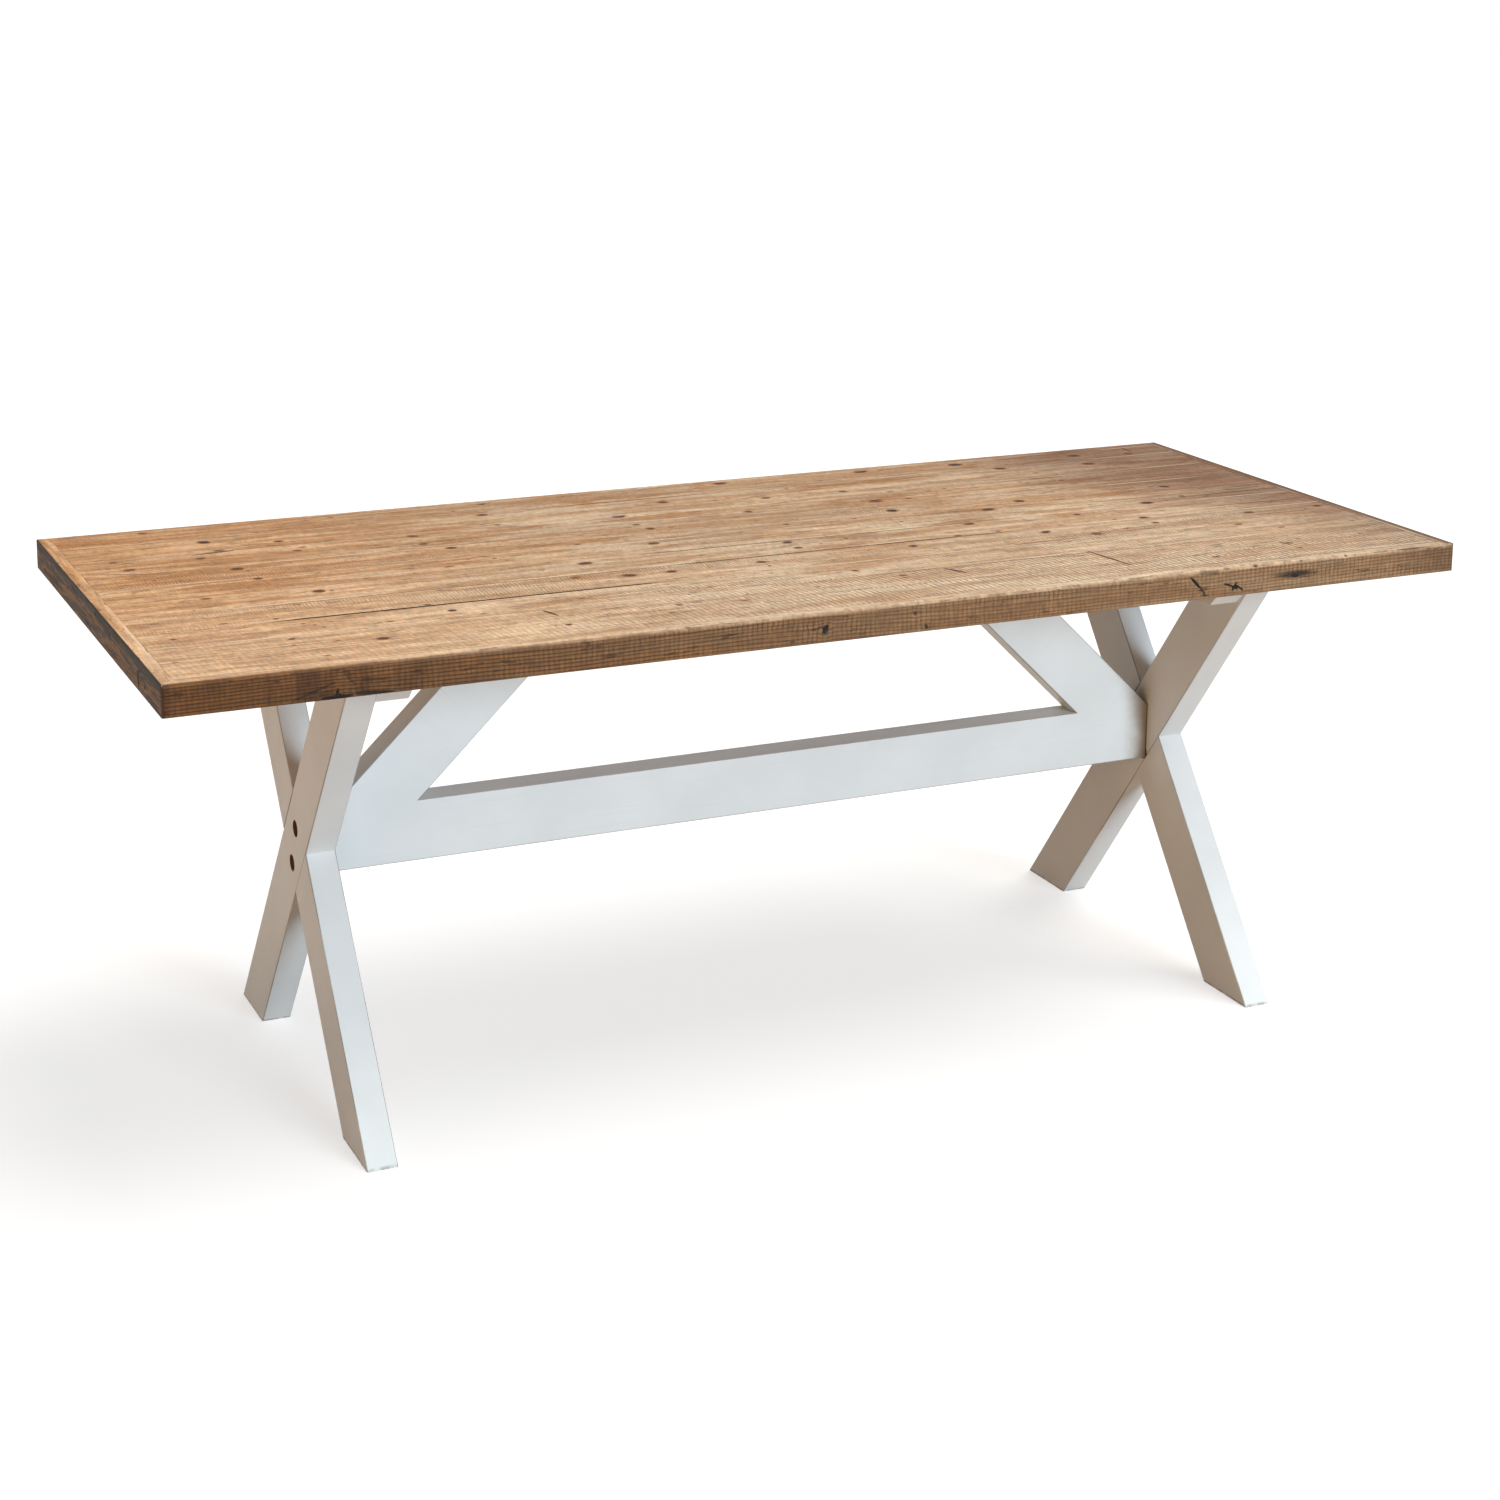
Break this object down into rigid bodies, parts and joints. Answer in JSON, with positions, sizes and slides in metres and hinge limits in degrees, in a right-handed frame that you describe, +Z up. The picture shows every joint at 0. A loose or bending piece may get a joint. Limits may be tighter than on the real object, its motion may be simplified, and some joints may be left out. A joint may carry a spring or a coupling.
{
  "type": "sawbuck table",
  "caption": "Long dining table with a thick top of old pine boards on white-painted crossed legs, joined by a stretcher with slanting braces up to the top.",
  "frame": {"origin": "on the floor, under the middle of the top", "axes": "+Z up, +X along the table towards its right end, -Y towards its front"},
  "size_m": [2, 0.85, 0.75],
  "materials": {
    "old_pine": "waxed, saw-marked old pine",
    "white_paint": "satin white paint on pine",
    "zinc_steel": "dull zinc plate",
    "beech": "bare, fluted dowel rod"
  },
  "bodies": {
    "root": {"top_board_01": "old_pine", "top_board_02": "old_pine", "top_board_03": "old_pine", "top_board_04": "old_pine", "top_board_05": "old_pine", "top_board_06": "old_pine", "top_board_07": "old_pine", "top_board_08": "old_pine", "top_board_09": "old_pine", "top_board_10": "old_pine", "lipping_front": "old_pine", "lipping_back": "old_pine", "lipping_left": "old_pine", "lipping_right": "old_pine", "leg_left_rear": "white_paint", "leg_left_front": "white_paint", "leg_right_front": "white_paint", "leg_right_rear": "white_paint", "stretcher": "white_paint", "brace_left": "white_paint", "brace_right": "white_paint", "cleat_left": "white_paint", "cleat_right": "white_paint", "stretcher_bolts": "zinc_steel", "lap_coach_screws": "zinc_steel", "bolt_washers": "zinc_steel", "barrel_nuts": "zinc_steel", "brace_screws": "zinc_steel", "cleat_top_screws": "zinc_steel", "cleat_leg_screws": "zinc_steel", "stretcher_dowels": "beech", "brace_dowels": "beech"}
  },
  "joints": []
}
